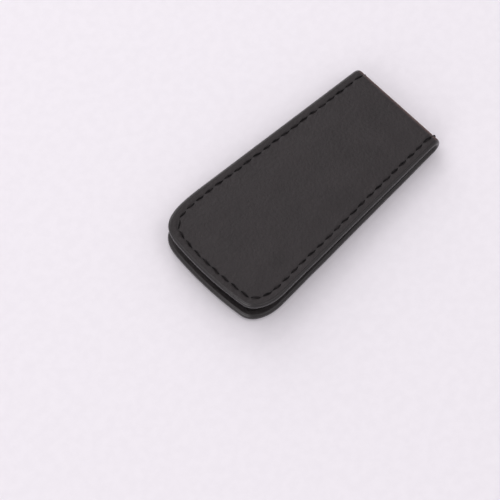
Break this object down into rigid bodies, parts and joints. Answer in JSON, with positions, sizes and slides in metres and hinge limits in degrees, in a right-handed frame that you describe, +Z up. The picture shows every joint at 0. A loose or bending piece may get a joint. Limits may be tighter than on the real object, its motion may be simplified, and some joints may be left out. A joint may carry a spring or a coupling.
{
  "type": "money clip",
  "caption": "Tapered black leather strip, lined and stitched round its edge and folded in a U, that grips folded notes between hidden magnets in its two flaps.",
  "frame": {"origin": "bottom centre of the folded clip's box, on the table under the lower flap", "axes": "+X from the free ends to the fold, +Y across the strip, +Z up from the lower flap to the upper one"},
  "size_m": [0.0704, 0.0348, 0.009],
  "materials": {
    "outer_leather": "matte",
    "lining_leather": "matte",
    "sewing_thread": "satin",
    "bonded_leather_board": "matte",
    "nickel_plated_magnet": "polished"
  },
  "bodies": {
    "lower_flap": {"lower_outer_leather": "outer_leather", "lower_lining": "lining_leather", "lower_stiffener_board": "bonded_leather_board", "lower_left_magnet": "nickel_plated_magnet", "lower_right_magnet": "nickel_plated_magnet", "lower_needle_thread": "sewing_thread", "lower_bobbin_thread": "sewing_thread"},
    "fold_band": {"fold_outer_leather": "outer_leather", "fold_lining": "lining_leather", "fold_needle_thread": "sewing_thread", "fold_bobbin_thread": "sewing_thread"},
    "upper_flap": {"upper_outer_leather": "outer_leather", "upper_lining": "lining_leather", "upper_stiffener_board": "bonded_leather_board", "upper_left_magnet": "nickel_plated_magnet", "upper_right_magnet": "nickel_plated_magnet", "upper_needle_thread": "sewing_thread", "upper_bobbin_thread": "sewing_thread"}
  },
  "joints": [
    {"name": "fold_lower", "type": "hinge", "parent": "lower_flap", "child": "fold_band", "pos_m": [0.03343, 0, 0.00182], "axis": [0, 1, 0], "range_deg": [-1.2, 89], "stiffness_Nm_per_rad": 0.1, "springref_deg": 1.49, "deforming": ["fold_outer_leather", "fold_lining", "fold_needle_thread", "fold_bobbin_thread"]},
    {"name": "fold_upper", "type": "hinge", "parent": "fold_band", "child": "upper_flap", "pos_m": [0.03348, 0, 0.00493], "axis": [0, 1, 0], "range_deg": [-1.2, 89], "stiffness_Nm_per_rad": 0.1, "springref_deg": 1.49}
  ],
  "couplings": [
    {"joint": "fold_upper", "follows": "fold_lower", "ratio": 1}
  ]
}
